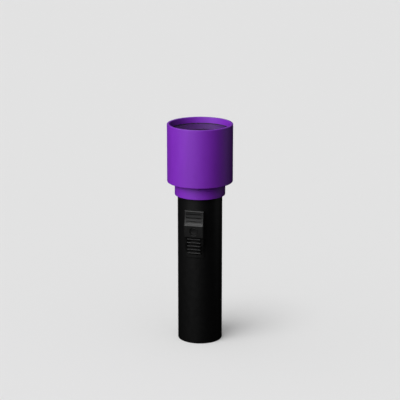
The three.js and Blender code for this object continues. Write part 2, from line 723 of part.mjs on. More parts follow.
function flashButton() {
  const top = padDistance - BUTTON_RECESS;
  const flangeOuter = pocketDistance - GAP;
  const flangeInner = flangeOuter - BUTTON_FLANGE_THICKNESS;
  const stemEnd = contactOuter + BUTTON_STEM_REST + BUTTON_TRAVEL;
  const flangeRadius = BUTTON_RADIUS + BUTTON_FLANGE_WIDTH;
  return revolveOutward(
    [
      [0, stemEnd],
      [BUTTON_STEM_RADIUS, stemEnd],
      [BUTTON_STEM_RADIUS, flangeInner],
      [flangeRadius, flangeInner],
      [flangeRadius, flangeOuter],
      [BUTTON_RADIUS, flangeOuter],
      [BUTTON_RADIUS, top],
      [BUTTON_RADIUS - BUTTON_DISH, top],
      [BUTTON_RADIUS / 2, top - BUTTON_DISH],
      [0, top - BUTTON_DISH],
    ],
    buttonHeight,
  );
}

function slideContact() {
  const plate = curvedPlate(contactInner, contactOuter, CONTACT_WIDTH, contactBottom, contactTop);
  return cut(plate, ...rivetHoles());
}

function sliderRivet(height) {
  const headTopDistance = contactInner - GAP;
  const shankEnd = contactInner + RIVET_LENGTH - GAP;
  return revolveOutward(
    [
      [0, headTopDistance - RIVET_HEAD_THICKNESS],
      [RIVET_HEAD_RADIUS, headTopDistance - RIVET_HEAD_THICKNESS],
      [RIVET_HEAD_RADIUS, headTopDistance],
      [RIVET_RADIUS, headTopDistance],
      [RIVET_RADIUS, shankEnd],
      [0, shankEnd],
    ],
    height,
    12,
  );
}

// ---------------------------------------------------------------- assembly
const finish = (color, roughness, metalness) =>
  new THREE.MeshStandardMaterial({ color, roughness, metalness });
const blackPlastic = finish(0x141414, 0.45, 0);
const purplePlastic = finish(0x7a35b4, 0.5, 0);
const smokyLens = finish(0x30203f, 0.1, 0);
const rubber = finish(0x101010, 0.8, 0);
const nickel = finish(0xc0c0c0, 0.3, 1);
const brass = finish(0xc9a24a, 0.35, 1);
const steel = finish(0xa8a8a8, 0.35, 1);
const mirror = finish(0xe0e0e0, 0.05, 1);
const glass = finish(0xf0f4f4, 0.05, 0);
const jacket = finish(0x30343a, 0.4, 0.2);
const whitePlastic = finish(0xd8d8d2, 0.5, 0);
const tungsten = finish(0x6a6a68, 0.5, 1);

const torch = new THREE.Group();

function place(name, geometry, material) {
  const mesh = new THREE.Mesh(geometry, material);
  mesh.name = name;
  torch.add(mesh);
}

place("barrel", barrel(), blackPlastic);
place("barrel_o_ring", barrelRing(), rubber);
place("tail_spring", tailSpring(), steel);
place("ground_strip", groundStrip(), brass);
place("head_strip", headStrip(), brass);

CELL_NAMES.forEach((name, index) => {
  const bottom = cellBottom(index);
  place(`${name}_jacket`, cellJacket(bottom), jacket);
  place(`${name}_negative_plate`, cellNegativePlate(bottom), nickel);
  place(`${name}_positive_cap`, cellPositiveCap(bottom), nickel);
});

place("bulb_tip", bulbTip(), nickel);
place("bulb_insulator", bulbInsulator(), rubber);
place("bulb_cap", bulbCap(), brass);
place("bulb_filament", bulbFilament(), tungsten);
place("bulb_glass", bulbGlass(), glass);
place("bulb_retainer", bulbRetainer(), whitePlastic);
place("contact_ring", contactRing(), brass);
place("reflector", reflector(), mirror);

place("head_shell", headShell(), purplePlastic);
place("lens_gasket", lensGasket(), rubber);
place("lens", lens(), smokyLens);

place("thumb_slider", thumbSlider(), blackPlastic);
place("slide_contact", slideContact(), brass);
place("slider_rivet_upper", sliderRivet(rivetHeights.upper), brass);
place("slider_rivet_lower", sliderRivet(rivetHeights.lower), brass);
place("flash_button", flashButton(), blackPlastic);

export default torch;
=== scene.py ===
# The looks of a two-cell torch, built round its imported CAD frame: detailed pieces that replace
# the plain solids, procedural materials, a pale floor, soft studio light and the camera.
import math

import bpy
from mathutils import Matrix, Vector


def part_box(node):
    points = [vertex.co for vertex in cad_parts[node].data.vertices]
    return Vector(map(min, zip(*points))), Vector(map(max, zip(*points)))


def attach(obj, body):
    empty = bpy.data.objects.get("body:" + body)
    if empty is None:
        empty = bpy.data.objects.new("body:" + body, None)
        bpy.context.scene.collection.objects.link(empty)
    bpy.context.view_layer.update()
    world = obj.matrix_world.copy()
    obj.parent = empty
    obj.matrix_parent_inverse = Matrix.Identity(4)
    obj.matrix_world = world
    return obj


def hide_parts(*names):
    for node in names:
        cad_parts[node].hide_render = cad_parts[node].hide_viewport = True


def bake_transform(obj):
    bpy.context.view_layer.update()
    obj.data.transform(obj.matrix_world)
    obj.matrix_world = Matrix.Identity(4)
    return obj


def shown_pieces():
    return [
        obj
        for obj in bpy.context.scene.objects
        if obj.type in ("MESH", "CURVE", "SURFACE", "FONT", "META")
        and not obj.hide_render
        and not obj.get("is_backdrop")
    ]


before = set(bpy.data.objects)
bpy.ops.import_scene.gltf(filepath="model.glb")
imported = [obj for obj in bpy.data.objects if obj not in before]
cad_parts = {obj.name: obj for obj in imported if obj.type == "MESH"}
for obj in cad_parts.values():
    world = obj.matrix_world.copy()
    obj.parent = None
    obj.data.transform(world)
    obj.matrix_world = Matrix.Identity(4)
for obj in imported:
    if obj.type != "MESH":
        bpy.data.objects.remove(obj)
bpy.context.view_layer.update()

MM = 0.001


# ---------------- measuring the frame
def low(node):
    """Lowest height of a CAD node, in millimetres."""
    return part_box(node)[0].z / MM


def high(node):
    """Highest height of a CAD node, in millimetres."""
    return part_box(node)[1].z / MM


def span(node):
    """Lowest and highest height of a CAD node, in millimetres."""
    return low(node), high(node)


def outer_radius(node):
    """Largest radius of a round CAD node about the Z axis, in millimetres."""
    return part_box(node)[1].x / MM


# ---------------- mesh helpers, all in millimetres
ON_AXIS = 1e-6  # a smaller radius counts as on the axis
ARC_REACH = 0.46  # most of the shorter side that a fillet's arc takes up
SUPPORT_BY_RADIUS = 0.35  # support point beyond an arc, as a share of its radius
SUPPORT_BY_SIDE = 0.03  # and at most this share of the shorter side


def fillet(before, point, after, radius, steps):
    """Points of a round corner of a polyline, with a support point beyond each end of the arc."""
    point = Vector(point)
    to_before = Vector(before) - point
    to_after = Vector(after) - point
    half = to_before.angle(to_after) / 2
    shorter = min(to_before.length, to_after.length)
    reach = min(radius / math.tan(half), ARC_REACH * shorter)
    radius = reach * math.tan(half)
    to_before.normalize()
    to_after.normalize()
    centre = point + (to_before + to_after).normalized() * (radius / math.sin(half))
    start = point + to_before * reach - centre
    end = point + to_after * reach - centre
    start_angle = math.atan2(start.y, start.x)
    turn = (math.atan2(end.y, end.x) - start_angle + math.pi) % (2 * math.pi) - math.pi
    support = min(SUPPORT_BY_RADIUS * radius, SUPPORT_BY_SIDE * shorter)
    points = [centre + start + to_before * support]
    for i in range(steps + 1):
        angle = start_angle + turn * i / steps
        points.append(centre + Vector((math.cos(angle), math.sin(angle))) * radius)
    points.append(centre + end + to_after * support)
    return [tuple(p) for p in points]


def rounded(corners, steps=5):
    """A closed outline of (r, z) corners. A corner's third value is the radius that rounds it."""
    outline = []
    for i, corner in enumerate(corners):
        if len(corner) < 3:
            outline.append(corner)
            continue
        before = corners[i - 1][:2]
        after = corners[(i + 1) % len(corners)][:2]
        outline.extend(fillet(before, corner[:2], after, corner[2], steps))
    return outline


def add_object(name, data):
    thing = bpy.data.objects.new(name, data)
    bpy.context.scene.collection.objects.link(thing)
    return thing


def polar(radius, angle, height):
    """A point at an angle about the Z axis. Angle 0 is on the switch's side, -Y."""
    return (radius * math.sin(angle), -radius * math.cos(angle), height)


def make_object(name, vertices, faces, smooth_angle=40):
    """A smooth-shaded mesh from points in millimetres, with its faces turned outward."""
    mesh = bpy.data.meshes.new(name)
    mesh.from_pydata([tuple(MM * c for c in v) for v in vertices], [], faces)
    mesh.validate()
    mesh.update()
    piece = add_object(name, mesh)
    turn_outward(mesh)
    shade(mesh, smooth_angle)
    return piece


def shade(mesh, smooth_angle=40):
    """Smooth shading that stops at edges sharper than the angle."""
    mesh.polygons.foreach_set("use_smooth", [True] * len(mesh.polygons))
    mesh.set_sharp_from_angle(angle=math.radians(smooth_angle))


def turn_outward(mesh):
    """Turns a closed mesh's faces outward if its signed volume is negative."""
    total = 0.0
    for polygon in mesh.polygons:
        corners = [mesh.vertices[i].co for i in polygon.vertices]
        for i in range(1, len(corners) - 1):
            total += corners[0].dot(corners[i].cross(corners[i + 1]))
    if total < 0:
        mesh.flip_normals()


def revolve(name, outline, sides=160, smooth_angle=40):
    """A solid of revolution about Z. The outline is closed, or starts and ends on the axis."""
    rings = []
    vertices = []
    for radius, height in outline:
        if radius < ON_AXIS:
            rings.append([len(vertices)] * sides)
            vertices.append((0.0, 0.0, height))
            continue
        rings.append(list(range(len(vertices), len(vertices) + sides)))
        for i in range(sides):
            angle = 2 * math.pi * i / sides
            vertices.append(polar(radius, angle, height))
    faces = []
    for a, b in zip(rings, rings[1:] + rings[:1]):
        for i in range(sides):
            j = (i + 1) % sides
            distinct = list(dict.fromkeys([a[i], a[j], b[j], b[i]]))
            if len(distinct) > 2:
                faces.append(distinct)
    return make_object(name, vertices, faces, smooth_angle)


def disc(name, radius, bottom, top, lower_corner, upper_corner, sides=160):
    """A round plate, with the radius of each of its two edges."""
    outline = [(0, bottom), (radius, bottom, lower_corner), (radius, top, upper_corner), (0, top)]
    return revolve(name, rounded(outline), sides)


def turn_to_switch(piece, height):
    """Turns a piece made round Z so that its axis points out of the switch (-Y), at a height."""
    for vertex in piece.data.vertices:
        x, y, z = vertex.co
        vertex.co = (x, -z, y + height * MM)
    turn_outward(piece.data)
    piece.data.update()
    return piece


def tube_faces(count, rings):
    """Sides and flat ends of a tube whose rings have that many points each."""
    faces = []
    for i in range(rings - 1):
        for k in range(count):
            a = i * count + k
            b = i * count + (k + 1) % count
            faces.append((a, b, b + count, a + count))
    faces.append(tuple(reversed(range(count))))
    faces.append(tuple(range((rings - 1) * count, rings * count)))
    return faces


def sweep(name, path, radii, sides=16):
    """A round wire along a list of points, with one radius for each and flat ends."""
    points = [Vector(p) for p in path]
    vertices = []
    normal = None
    for i, point in enumerate(points):
        ahead = (points[min(i + 1, len(points) - 1)] - points[max(i - 1, 0)]).normalized()
        if normal is None:
            normal = ahead.orthogonal().normalized()
        normal = (normal - ahead * normal.dot(ahead)).normalized()
        across = ahead.cross(normal)
        for k in range(sides):
            angle = 2 * math.pi * k / sides
            outward = normal * math.cos(angle) + across * math.sin(angle)
            vertices.append(point + outward * radii[i])
    return make_object(name, vertices, tube_faces(sides, len(points)))


def bake_modifiers(piece):
    """Makes what the modifiers show the piece's own mesh."""
    graph = bpy.context.evaluated_depsgraph_get()
    mesh = bpy.data.meshes.new_from_object(piece.evaluated_get(graph))
    piece.modifiers.clear()
    piece.data = mesh


def combine(piece, other, operation):
    """UNION joins the other object to the piece, DIFFERENCE cuts it away. The other is used up."""
    modifier = piece.modifiers.new(operation, "BOOLEAN")
    modifier.operation = operation
    modifier.solver = "EXACT"
    modifier.object = other
    bake_modifiers(piece)
    bpy.data.objects.remove(other)
    shade(piece.data)


def bevel(piece, width):
    """Rounds the sharp edges of a mesh."""
    modifier = piece.modifiers.new("edges", "BEVEL")
    modifier.width = width * MM
    modifier.segments = 2
    modifier.limit_method = "ANGLE"
    modifier.angle_limit = math.radians(35)
    bake_modifiers(piece)
    shade(piece.data)


def block(name, x_span, y_span, z_span):
    """A box between given coordinates, for cutting and joining."""
    vertices = [(x, y, z) for z in z_span for y in y_span for x in x_span]
    faces = [(0, 2, 3, 1), (4, 5, 7, 6), (0, 1, 5, 4), (2, 6, 7, 3), (0, 4, 6, 2), (1, 3, 7, 5)]
    return make_object(name, vertices, faces)


def slab_faces(row, rows):
    """Faces of a closed slab: a grid of points outside, one like it inside, and the borders."""
    layer = row * rows
    faces = []
    for j in range(rows - 1):
        for i in range(row - 1):
            a = j * row + i
            faces.append((a, a + 1, a + row + 1, a + row))
            faces.append((layer + a, layer + a + row, layer + a + row + 1, layer + a + 1))
    for i in range(row - 1):
        last = layer - row + i
        faces.append((i, layer + i, layer + i + 1, i + 1))
        faces.append((last, last + 1, layer + last + 1, layer + last))
    for j in range(rows - 1):
        a = j * row
        b = a + row - 1
        faces.append((a, a + row, layer + a + row, layer + a))
        faces.append((b, layer + b, layer + b + row, b + row))
    return faces


def curved_plate(name, inner, outer, half_width, bottom, top):
    """A plate bent to the barrel's round, on the switch's side."""
    steps = 14
    vertices = []
    for height in (bottom, top):
        for radius in (inner, outer):
            reach = math.asin(half_width / radius)
            for i in range(steps + 1):
                vertices.append(polar(radius, reach * (2 * i / steps - 1), height))
    row = steps + 1
    faces = []
    for i in range(steps):
        faces.append((i, i + 1, row + i + 1, row + i))
        faces.append((2 * row + i, 3 * row + i, 3 * row + i + 1, 2 * row + i + 1))
        faces.append((i, 2 * row + i, 2 * row + i + 1, i + 1))
        faces.append((row + i, row + i + 1, 3 * row + i + 1, 3 * row + i))
    faces.append((0, row, 3 * row, 2 * row))
    faces.append((steps, 2 * row + steps, 3 * row + steps, row + steps))
    return make_object(name, vertices, faces)


def smoothstep(value, start, end):
    """0 up to the start, 1 from the end, and a smooth rise between."""
    share = min(1, max(0, (value - start) / (end - start)))
    return share * share * (3 - 2 * share)


# ---------------- materials
def set_inputs(node, **values):
    """Sets a node's inputs by name, with an underscore for each space."""
    for name, value in values.items():
        node.inputs[name.replace("_", " ")].default_value = value


class Material:
    """A Principled material whose detail comes from noise in the object's own coordinates."""

    def __init__(self, name, colour, roughness, metallic=0.0, specular=0.5):
        self.data = bpy.data.materials.new(name)
        self.data.use_nodes = True
        self.tree = self.data.node_tree
        self.shader = self.tree.nodes["Principled BSDF"]
        set_inputs(self.shader, Base_Color=(*colour, 1), Roughness=roughness)
        set_inputs(self.shader, Metallic=metallic, Specular_IOR_Level=specular)
        self.colour = colour
        self.place = self.node("TexCoord").outputs["Object"]

    def node(self, kind, **values):
        node = self.tree.nodes.new("ShaderNode" + kind)
        set_inputs(node, **values)
        return node

    def link(self, start, end):
        self.tree.links.new(start, end)

    def noise(self, feature, detail=3.0, stretch=(1, 1, 1)):
        """Noise with features about that many millimetres across, longer on a stretched axis."""
        mapping = self.node("Mapping", Scale=[1 / (feature * MM * s) for s in stretch])
        self.link(self.place, mapping.inputs["Vector"])
        texture = self.node("TexNoise", Scale=1.0, Detail=detail, Roughness=0.55)
        self.link(mapping.outputs["Vector"], texture.inputs["Vector"])
        return texture.outputs["Fac"]

    def ranged(self, value, start, end, low_in=0.25, high_in=0.75):
        """The value, carried from low_in..high_in to start..end."""
        spread = self.node("MapRange", From_Min=low_in, From_Max=high_in, To_Min=start, To_Max=end)
        self.link(value, spread.inputs["Value"])
        return spread.outputs["Result"]

    def vary_colour(self, value, amount):
        """Base colour a little darker and lighter with a noise value."""
        mix = self.node("Mix")
        mix.data_type = "RGBA"
        ends = [socket for socket in mix.inputs if socket.type == "RGBA"]
        ends[0].default_value = (*(c * (1 - amount) for c in self.colour), 1)
        ends[1].default_value = (*(min(1, c * (1 + amount)) for c in self.colour), 1)
        self.link(self.ranged(value, 0, 1), mix.inputs["Factor"])
        result = [socket for socket in mix.outputs if socket.type == "RGBA"][0]
        self.link(result, self.shader.inputs["Base Color"])

    def vary_roughness(self, value, start, end):
        self.link(self.ranged(value, start, end), self.shader.inputs["Roughness"])

    def bump(self, value, height):
        """Relief of about that many millimetres from a noise value."""
        relief = self.node("Bump", Distance=height * MM)
        self.link(value, relief.inputs["Height"])
        self.link(relief.outputs["Normal"], self.shader.inputs["Normal"])


def moulded_plastic(name, colour, roughness, grain=0.25, relief=0.006, specular=0.5):
    """Moulded plastic: a fine spark-eroded grain, faint flow shading and slight handling gloss."""
    material = Material(name, colour, roughness, specular=specular)
    material.vary_colour(material.noise(9, 2, (1, 1, 3)), 0.05)
    material.vary_roughness(material.noise(4, 4), roughness - 0.04, roughness + 0.04)
    material.bump(material.noise(grain, 2), relief)
    return material.data


def rubber():
    material = Material("moulded_rubber", (0.012, 0.012, 0.012), 0.7)
    material.vary_roughness(material.noise(1.5, 3), 0.6, 0.8)
    material.bump(material.noise(0.3, 3), 0.01)
    return material.data


def metal(name, colour, roughness, stretch=(1, 1, 8)):
    """Rolled or drawn metal: fine streaks along the height, and slight tarnish in patches."""
    material = Material(name, colour, roughness, metallic=1.0)
    material.vary_colour(material.noise(2.5, 4), 0.12)
    material.vary_roughness(material.noise(0.3, 3, stretch), roughness - 0.08, roughness + 0.1)
    material.bump(material.noise(0.12, 2, stretch), 0.002)
    return material.data


def mirror():
    """Vacuum-metallised bowl with the faint dimples that spread its beam."""
    material = Material("metallised_bowl", (0.9, 0.9, 0.92), 0.08, metallic=1.0)
    material.vary_roughness(material.noise(3, 3), 0.05, 0.12)
    material.bump(material.noise(0.9, 1), 0.012)
    return material.data


def smoky_plastic():
    """Clear plastic tinted dark, slightly wavy as moulded sheet is."""
    material = Material("smoky_plastic", (0.068, 0.045, 0.082), 0.09)
    set_inputs(material.shader, IOR=1.49, Transmission_Weight=0.42)
    material.vary_roughness(material.noise(6, 4), 0.07, 0.12)
    material.bump(material.noise(12, 1), 0.004)
    return material.data


def clear_glass():
    material = Material("clear_glass", (0.97, 0.98, 0.98), 0.02)
    set_inputs(material.shader, IOR=1.5, Transmission_Weight=1.0)
    material.vary_roughness(material.noise(3, 2), 0.01, 0.05)
    return material.data


def cell_sleeve(bottom, top):
    """Printed sleeve of a cell: dark, with thin rings and a copper band at the positive end."""
    dark = (0.02, 0.022, 0.03, 1)
    pale = (0.5, 0.5, 0.48, 1)
    copper = (0.45, 0.16, 0.05, 1)
    material = Material("cell_sleeve_%03d" % round(bottom), dark[:3], 0.32)
    split = material.node("SeparateXYZ")
    material.link(material.place, split.inputs["Vector"])
    share = material.ranged(split.outputs["Z"], 0, 1, bottom * MM, top * MM)
    ramp = material.node("ValToRGB")
    ramp.color_ramp.interpolation = "CONSTANT"
    bands = [(0, pale), (0.05, dark), (0.3, pale), (0.31, dark), (0.74, pale), (0.755, copper)]
    ramp.color_ramp.elements[0].color = bands[0][1]
    ramp.color_ramp.elements[1].position = bands[-1][0]
    ramp.color_ramp.elements[1].color = bands[-1][1]
    for position, colour in bands[1:-1]:
        ramp.color_ramp.elements.new(position).color = colour
    material.link(share, ramp.inputs["Fac"])
    material.link(ramp.outputs["Color"], material.shader.inputs["Base Color"])
    material.vary_roughness(material.noise(5, 4), 0.25, 0.42)
    material.bump(material.noise(2.5, 3, (1, 1, 4)), 0.01)
    return material.data


PURPLE = moulded_plastic("purple_moulding", (0.21, 0.022, 0.50), 0.5)
BLACK = moulded_plastic("black_moulding", (0.0035, 0.0035, 0.0036), 0.38, specular=0.45)
SWITCH_BLACK = moulded_plastic("switch_moulding", (0.004, 0.004, 0.004), 0.38, 0.2, 0.004)
WHITE = moulded_plastic("white_moulding", (0.75, 0.75, 0.72), 0.4)
RUBBER = rubber()
BRASS = metal("rolled_brass", (0.78, 0.55, 0.24), 0.28)
NICKEL = metal("nickel_plate", (0.66, 0.64, 0.60), 0.22)
STEEL = metal("spring_wire", (0.56, 0.56, 0.58), 0.3, (1, 1, 1))
MIRROR = mirror()
SMOKY = smoky_plastic()
GLASS = clear_glass()


def dress(piece, material, body, slot, *nodes):
    """Gives a piece its material and its body, and hides the CAD nodes that it stands for. Its
    slot is not used.
    """
    piece.data.materials.clear()
    piece.data.materials.append(material)
    piece.data.polygons.foreach_set("material_index", [0] * len(piece.data.polygons))
    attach(piece, body)
    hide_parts(*nodes)


# ---------------- sizes shared by several pieces
GAP = 0.3  # clearance between pieces that move on each other
WALL = 2.05  # of the barrel
BARREL_RADIUS = outer_radius("barrel")
BARREL_MOUTH = high("barrel")
BORE_RADIUS = BARREL_RADIUS - WALL
THREAD_PITCH = 3
THREAD_HEIGHT = 0.8
THREAD_MARGIN = 1.05  # from either end of the thread to the end of its wall
RIDGE_SINK = 0.4  # how deep a thread's ridge starts inside its wall
NECK_STEP = 0.9  # from the barrel's surface in to the neck
NECK_ROOT = BARREL_RADIUS - NECK_STEP
NECK_CREST = NECK_ROOT + THREAD_HEIGHT
COLLAR_BOTTOM = low("head_shell")
RING_GROOVE = (COLLAR_BOTTOM + 1.1, COLLAR_BOTTOM + 3.0)
NECK_BOTTOM = RING_GROOVE[1] + 0.45
THREAD_BOTTOM = NECK_BOTTOM + THREAD_MARGIN
UPPER_RAMP_LENGTH = 13.2
LOWER_RAMP_LENGTH = 19.55
SLIDER_BOTTOM = low("thumb_slider")
SLIDER_TOP = high("thumb_slider")
PAD_TOP = SLIDER_TOP - UPPER_RAMP_LENGTH
PAD_BOTTOM = SLIDER_BOTTOM + LOWER_RAMP_LENGTH
BUTTON_HEIGHT = (PAD_TOP + PAD_BOTTOM) / 2
PAD_DISTANCE = -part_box("thumb_slider")[0].y / MM
RIVET_RADIUS = 1.1  # of the hole that a rivet's shank stands in
RIVET_HEIGHTS = [sum(span("slider_rivet_" + name)) / 2 for name in ("upper", "lower")]


def thread_ridge(name, base, crest, start, first_turn, turns):
    """A screw ridge that fades out at both ends, with its crest inside or outside its base."""
    steps_per_turn = 96
    fade_steps = 14
    least_height = 0.06  # share of the height that is left at the faded ends
    steps = round(turns * steps_per_turn)
    section = [(-0.75, 0), (-0.42, 0.86), (-0.28, 1), (0.28, 1), (0.42, 0.86), (0.75, 0)]
    vertices = []
    for i in range(steps + 1):
        turn = first_turn + i / steps_per_turn
        angle = 2 * math.pi * turn
        fade = max(least_height, smoothstep(min(i, steps - i), 0, fade_steps))
        for rise, share in section:
            radius = base + (crest - base) * share * fade
            height = start + THREAD_PITCH * turn + rise
            vertices.append(polar(radius, angle, height))
    return make_object(name, vertices, tube_faces(len(section), steps + 1))


# ---------------- barrel and what stays in it
STRIP_INSET = 0.45  # from the bore in to the strips and to the cuts behind them


def barrel():
    foot_height = 0.6
    foot_inner = BARREL_RADIUS - 4.9
    gate_depth = 0.25  # mark in the middle of the tail, where the plastic came in
    gate_bottom = 1.1
    gate_mouth = 1.5
    tail_thickness = 2.5
    ring_root = BARREL_RADIUS - 1.3
    outline = rounded([
        (0, foot_height + gate_depth), (gate_bottom, foot_height + gate_depth, 0.2),
        (gate_mouth, foot_height, 0.2), (foot_inner - foot_height, foot_height, 0.3),
        (foot_inner, 0, 0.25), (BARREL_RADIUS, 0, 0.8), (BARREL_RADIUS, RING_GROOVE[0], 0.15),
        (ring_root, RING_GROOVE[0], 0.15), (ring_root, RING_GROOVE[1], 0.15),
        (BARREL_RADIUS, RING_GROOVE[1], 0.15), (NECK_ROOT, NECK_BOTTOM, 0.2),
        (NECK_ROOT, BARREL_MOUTH - GAP, 0.1), (NECK_ROOT - GAP, BARREL_MOUTH, 0.1),
        (BORE_RADIUS, BARREL_MOUTH, 0.15), (BORE_RADIUS, tail_thickness, 1.2), (0, tail_thickness),
    ])
    piece = revolve("barrel_moulding", outline)
    turns = (BARREL_MOUTH - GAP - THREAD_MARGIN - THREAD_BOTTOM) / THREAD_PITCH
    ridge = thread_ridge("ridge", NECK_ROOT - RIDGE_SINK, NECK_CREST, THREAD_BOTTOM, 0, turns)
    combine(piece, ridge, "UNION")
    combine(piece, contact_channel(), "DIFFERENCE")
    combine(piece, switch_slot(), "DIFFERENCE")
    dress(piece, BLACK, "barrel", "black_plastic", "barrel")


def contact_channel():
    """Room in the bore's wall for the slide contact and its travel."""
    below = 0.5
    above = 6.5
    depth = 0.85
    half_width = 4.5
    bottom = low("slide_contact") - below
    top = high("slide_contact") + above
    inner = BORE_RADIUS - STRIP_INSET
    return curved_plate("channel", inner, BORE_RADIUS + depth, half_width, bottom, top)


def switch_slot():
    """Slot through the barrel's wall for the slider's boss and the button's stem."""
    half_width = 2.9
    z_span = (BUTTON_HEIGHT - 15.15, BUTTON_HEIGHT + 8.2)
    y_span = (-BARREL_RADIUS - 1, -BORE_RADIUS + STRIP_INSET)
    return block("slot", (-half_width, half_width), y_span, z_span)


def barrel_seal():
    wire = 0.65
    sides = 24
    middle = sum(RING_GROOVE) / 2
    radius = outer_radius("barrel_o_ring") - wire
    turns = [math.pi * i / (sides // 2) for i in range(sides)]
    circle = [(radius + wire * math.cos(a), middle + wire * math.sin(a)) for a in turns]
    piece = revolve("barrel_seal", circle)
    dress(piece, RUBBER, "barrel", "rubber", "barrel_o_ring")


def cell_spring():
    """Conical wire spring, from its foot on the barrel to its top under the cells."""
    wire = 0.57
    turns = 4
    steps = turns * 64
    narrowing = 1.6  # of the spring's radius, in one turn
    bottom, top = span("tail_spring")
    first_radius = outer_radius("tail_spring") - wire
    path = []
    for i in range(steps + 1):
        share = i / steps
        angle = 2 * math.pi * turns * share
        radius = first_radius - narrowing * turns * share
        height = bottom + wire + (top - bottom - 2 * wire) * smoothstep(share, 0.1, 0.9)
        path.append(polar(radius, angle, height))
    piece = sweep("cell_spring", path, [wire] * len(path))
    piece.data.materials.append(STEEL)
    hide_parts("tail_spring")
    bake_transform(piece)


def contact_strips():
    """Brass strips in the barrel: one from the tail to the switch, one from there to the head."""
    half_width = 2.5
    overlap = 0.1  # between solids that are joined
    inner = BORE_RADIUS - STRIP_INSET
    outer = inner + 0.3
    foot_bottom = low("ground_strip")
    foot_top = foot_bottom + 0.4
    foot_radius = 15.5
    foot = disc("ground_spring_plate", foot_radius, foot_bottom, foot_top, 0.1, 0.1)
    y_span = (-inner - overlap, -foot_radius + 1)
    bridge = block("bridge", (-half_width, half_width), y_span, (foot_bottom, foot_top))
    combine(foot, bridge, "UNION")
    upright_top = high("ground_strip")
    upright = curved_plate("upright", inner - overlap, outer, half_width, foot_bottom, upright_top)
    combine(foot, upright, "UNION")
    dress(foot, BRASS, "barrel", "brass", "ground_strip")
    head_strip = curved_plate("head_contact_strip", inner, outer, half_width, *span("head_strip"))
    bevel(head_strip, 0.08)
    dress(head_strip, BRASS, "barrel", "brass", "head_strip")


# ---------------- cells
CELL_SIDES = 96


def cell(name):
    """One cell: a printed sleeve, a negative plate and a positive cap."""
    cell_jacket(name + "_sleeve", name + "_jacket")
    negative_plate(name + "_base", name + "_negative_plate")
    positive_cap(name + "_nub", name + "_positive_cap")


def cell_jacket(name, node):
    rolled = 0.6  # height and width of the rolled edge at the bottom
    shelf_drop = 1.2  # from the rolled edge at the top down to the shelf round the cap
    bottom, top = span(node)
    radius = outer_radius(node)
    lip = radius - 3.2
    piece = revolve(name, rounded([
        (0, bottom + rolled), (lip, bottom + rolled, 0.2), (lip + rolled, bottom, 0.3),
        (radius, bottom, 0.6), (radius, top, 0.6), (lip, top, 0.3),
        (lip - rolled, top - shelf_drop, 0.2), (0, top - shelf_drop),
    ]), CELL_SIDES)
    dress(piece, cell_sleeve(bottom, top), "light_unit", "cell_jacket", node)


def negative_plate(name, node):
    dimple = 0.12
    dimple_inner = 0.55  # shares of the plate's radius
    dimple_outer = 0.62
    bottom, top = span(node)
    radius = outer_radius(node)
    piece = revolve(name, rounded([
        (0, bottom + dimple), (radius * dimple_inner, bottom + dimple, 0.1),
        (radius * dimple_outer, bottom, 0.1), (radius, bottom, 0.15), (radius, top, 0.1), (0, top),
    ]), CELL_SIDES)
    dress(piece, NICKEL, "light_unit", "nickel", node)


def positive_cap(name, node):
    brim = 0.6
    nub_radius = 4.75
    nub_taper = 0.2
    bottom, top = span(node)
    radius = outer_radius(node)
    piece = revolve(name, rounded([
        (0, bottom), (radius, bottom, 0.15), (radius, bottom + brim, 0.2),
        (nub_radius + nub_taper, bottom + brim, 0.3), (nub_radius, top, 0.5), (0, top),
    ]), CELL_SIDES)
    dress(piece, NICKEL, "light_unit", "nickel", node)


# ---------------- bulb and reflector
BULB_FLANGE_TOP = low("bulb_tip") + 10.5
FOCUS = BULB_FLANGE_TOP + 6.7  # height of the filament
GLOBE_RADIUS = 5.4
GLASS_NECK_RADIUS = 4.0
GLASS_THICKNESS = 0.5


def bulb_shell():
    """Flanged cap of the bulb, with a low collar round the glass."""
    inner = 4.3
    outer = 4.7
    flange = 6.3
    flange_bottom = BULB_FLANGE_TOP - 0.5
    collar_outer = 5.6
    collar_inner = 5.2
    bottom, top = span("bulb_cap")
    piece = revolve("bulb_shell", rounded([
        (inner, bottom, 0.1), (outer, bottom, 0.15), (outer, flange_bottom, 0.15),
        (flange, flange_bottom, 0.15), (flange, BULB_FLANGE_TOP, 0.15),
        (collar_outer, BULB_FLANGE_TOP, 0.15), (collar_outer, top, 0.15), (collar_inner, top, 0.1),
        (inner, BULB_FLANGE_TOP, 0.2),
    ]), 96)
    dress(piece, BRASS, "light_unit", "brass", "bulb_cap")


def bulb_solder_tip():
    bottom, top = span("bulb_tip")
    piece = disc("bulb_solder_tip", 2, bottom, top, 0.8, 0.1, 64)
    dress(piece, NICKEL, "light_unit", "nickel", "bulb_tip")


def bulb_insulating_disc():
    bottom, top = span("bulb_insulator")
    piece = disc("bulb_insulating_disc", outer_radius("bulb_insulator"), bottom, top, 0.2, 0.2, 64)
    dress(piece, RUBBER, "light_unit", "rubber", "bulb_insulator")


def bulb_envelope():
    """Thin glass: a straight neck, open below, and a round globe."""
    steps = 32

    def side(inset):
        globe = GLOBE_RADIUS - inset
        neck = GLASS_NECK_RADIUS - inset
        start = -math.acos(neck / globe)
        points = [(neck, low("bulb_glass"))]
        for i in range(steps):
            angle = start + (math.pi / 2 - start) * i / steps
            points.append((globe * math.cos(angle), FOCUS + globe * math.sin(angle)))
        return points + [(0, FOCUS + globe)]

    piece = revolve("bulb_envelope", side(0) + side(GLASS_THICKNESS)[::-1], 96, 60)
    dress(piece, GLASS, "light_unit", "bulb_glass", "bulb_glass")


